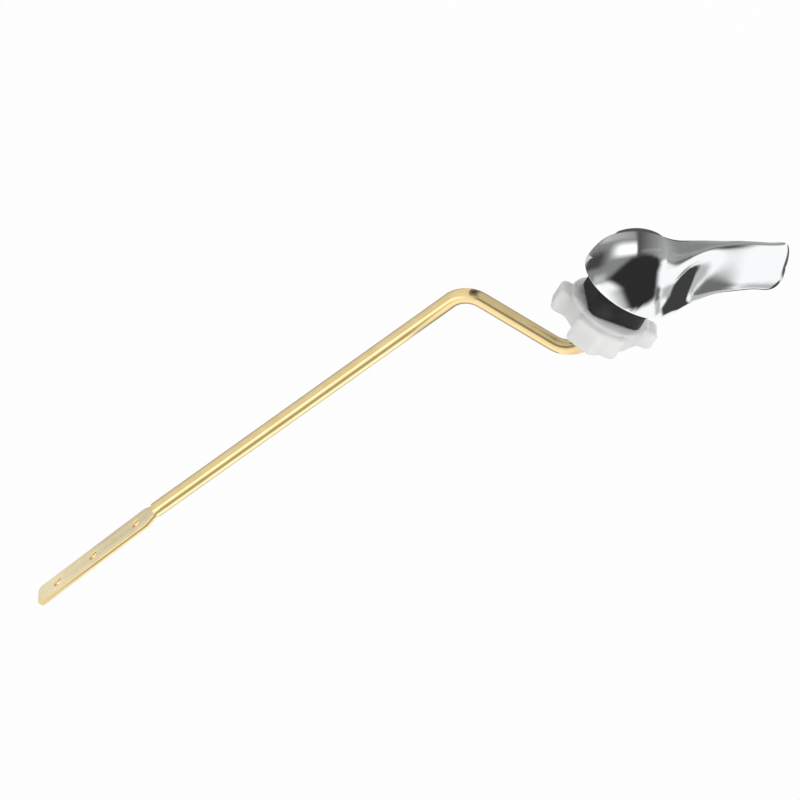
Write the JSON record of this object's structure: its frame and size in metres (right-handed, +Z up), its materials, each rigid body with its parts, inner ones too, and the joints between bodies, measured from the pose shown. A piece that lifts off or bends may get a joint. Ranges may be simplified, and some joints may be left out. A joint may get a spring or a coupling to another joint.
{
  "type": "cistern lever",
  "caption": "Side-mounted cistern flush lever: domed chrome handle on a square-necked bush with a lobed nut, turning a bent brass lift arm with a drilled flat end.",
  "frame": {"origin": "on the spindle axis, in the plane where the bush's flange seats on the cistern's outer wall", "axes": "+Y along the spindle through the wall into the cistern, +Z up, the handle's blade points to -X"},
  "size_m": [0.1754, 0.303, 0.0682],
  "materials": {
    "chrome_plate": "polished",
    "black_plastic": "satin",
    "natural_plastic": "smooth moulded",
    "brass": "drawn rod with a pressed matte end",
    "spring_steel": "plain"
  },
  "bodies": {
    "bushing": {"bushing": "black_plastic"},
    "nut": {"nut": "natural_plastic"},
    "lever": {"handle": "chrome_plate", "arm": "brass", "set_screw": "spring_steel", "retaining_ring": "spring_steel"}
  },
  "joints": [
    {"name": "lever_turn", "type": "hinge", "parent": "bushing", "child": "lever", "pos_m": [0, 0, 0], "axis": [0, -1, 0], "range_deg": [0, 38]},
    {"name": "nut_travel", "type": "slide", "parent": "bushing", "child": "nut", "axis": [0, 1, 0], "range_m": [0, 0.008]}
  ]
}
